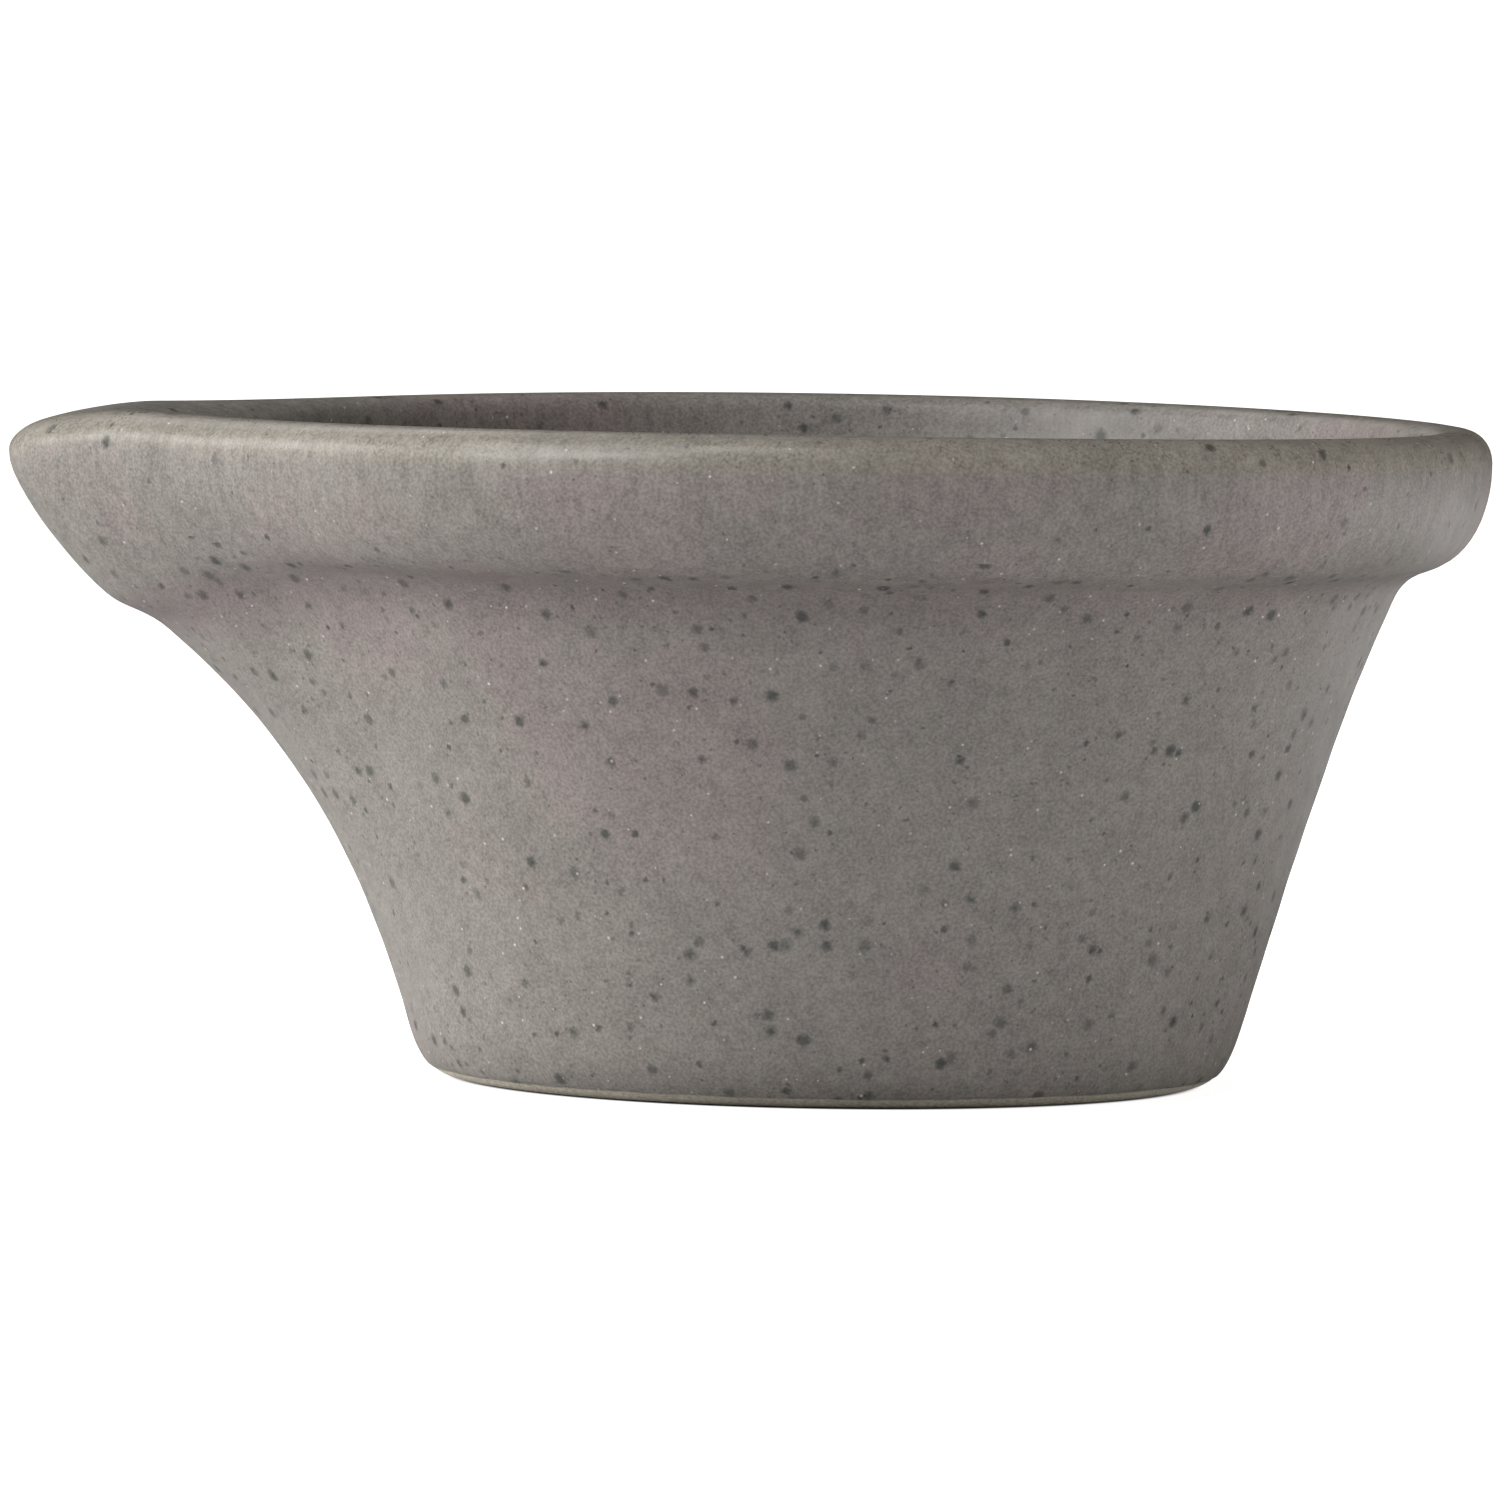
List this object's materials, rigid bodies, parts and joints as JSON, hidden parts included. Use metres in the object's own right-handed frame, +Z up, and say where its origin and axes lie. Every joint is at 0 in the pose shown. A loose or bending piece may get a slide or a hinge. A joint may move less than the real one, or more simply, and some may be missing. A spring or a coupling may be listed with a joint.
{
  "type": "mortar and pestle",
  "caption": "Spouted stoneware mortar with a thick collared rim and flared body, with a short pestle lying in its bowl.",
  "frame": {"origin": "on the axis of the round bowl, in the plane of the flat foot ring that stands on the table", "axes": "+Z up along the bowl's axis, -X towards the spout, +Y to the bowl's side; the XZ plane is the mirror plane"},
  "size_m": [0.1502, 0.1336, 0.0674],
  "materials": {
    "speckled_glaze": "satin matt warm grey glaze with soft mauve and green-grey clouds, charcoal iron specks and a paler rim",
    "pestle_stoneware": "the same satin glaze on the grip and waist, with a bare, finely sanded grinding head"
  },
  "bodies": {
    "mortar": {"mortar": "speckled_glaze"},
    "pestle": {"pestle": "pestle_stoneware"}
  },
  "joints": [
    {"name": "pestle_lift", "type": "slide", "parent": "mortar", "child": "pestle", "axis": [0, 0, 1], "range_m": [0, 0.12]}
  ]
}
